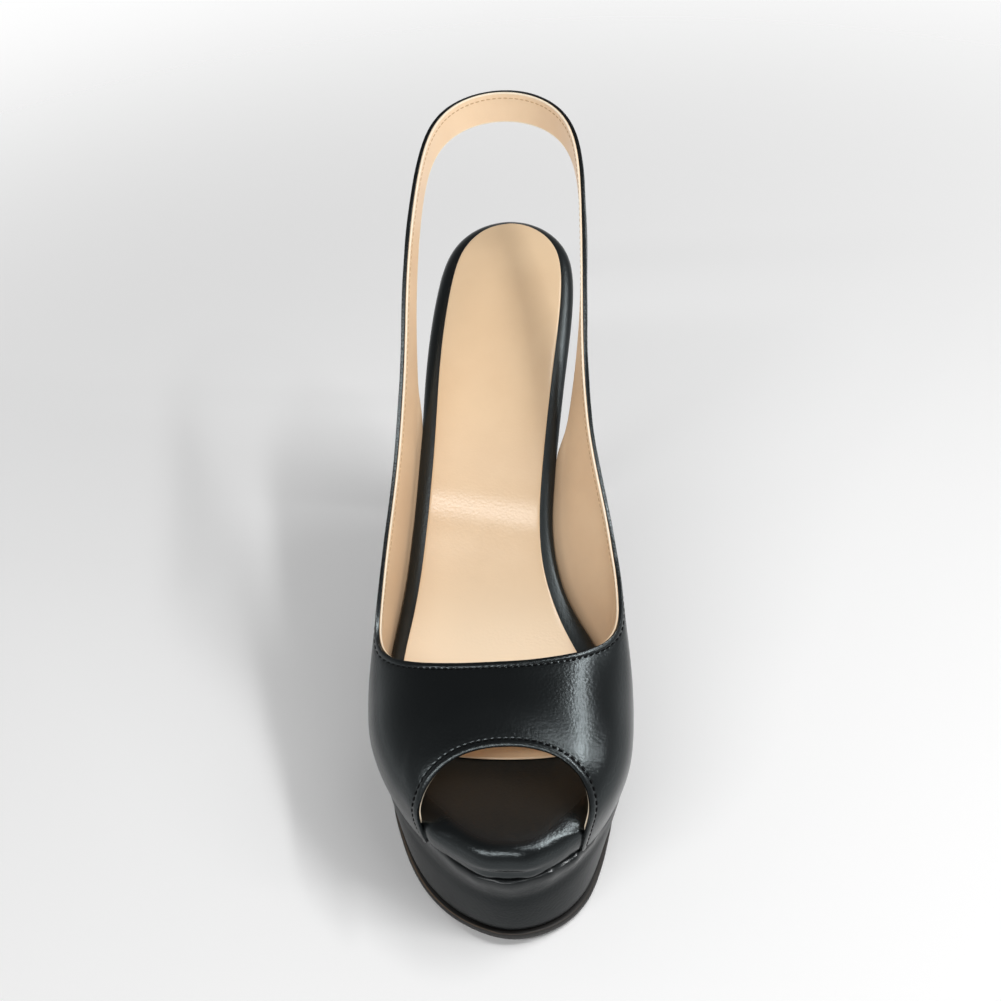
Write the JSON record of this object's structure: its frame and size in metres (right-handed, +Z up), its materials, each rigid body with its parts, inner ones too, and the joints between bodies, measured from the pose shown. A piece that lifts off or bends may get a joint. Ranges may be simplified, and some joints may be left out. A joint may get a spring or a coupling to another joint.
{
  "type": "platform slingback sandal",
  "caption": "Black leather slingback sandal for the right foot with a high slim heel, a leather-covered platform, an open toe and a beige sock lining.",
  "frame": {"origin": "on the floor, in the middle of the shoe's footprint", "axes": "+Z up, +Y from the toe towards the heel, +X towards the inner side of the foot"},
  "size_m": [0.0866, 0.2214, 0.1814],
  "materials": {
    "black_leather": "smooth black leather with a fine grain and a semi-gloss finish",
    "beige_leather": "soft beige lining leather, satin",
    "sole_rubber": "dark matt sole rubber"
  },
  "bodies": {
    "root": {"outsole": "sole_rubber", "platform": "black_leather", "insole": "black_leather", "sock_lining": "beige_leather", "upper": "black_leather", "heel": "black_leather", "heel_tip": "sole_rubber"}
  },
  "joints": []
}
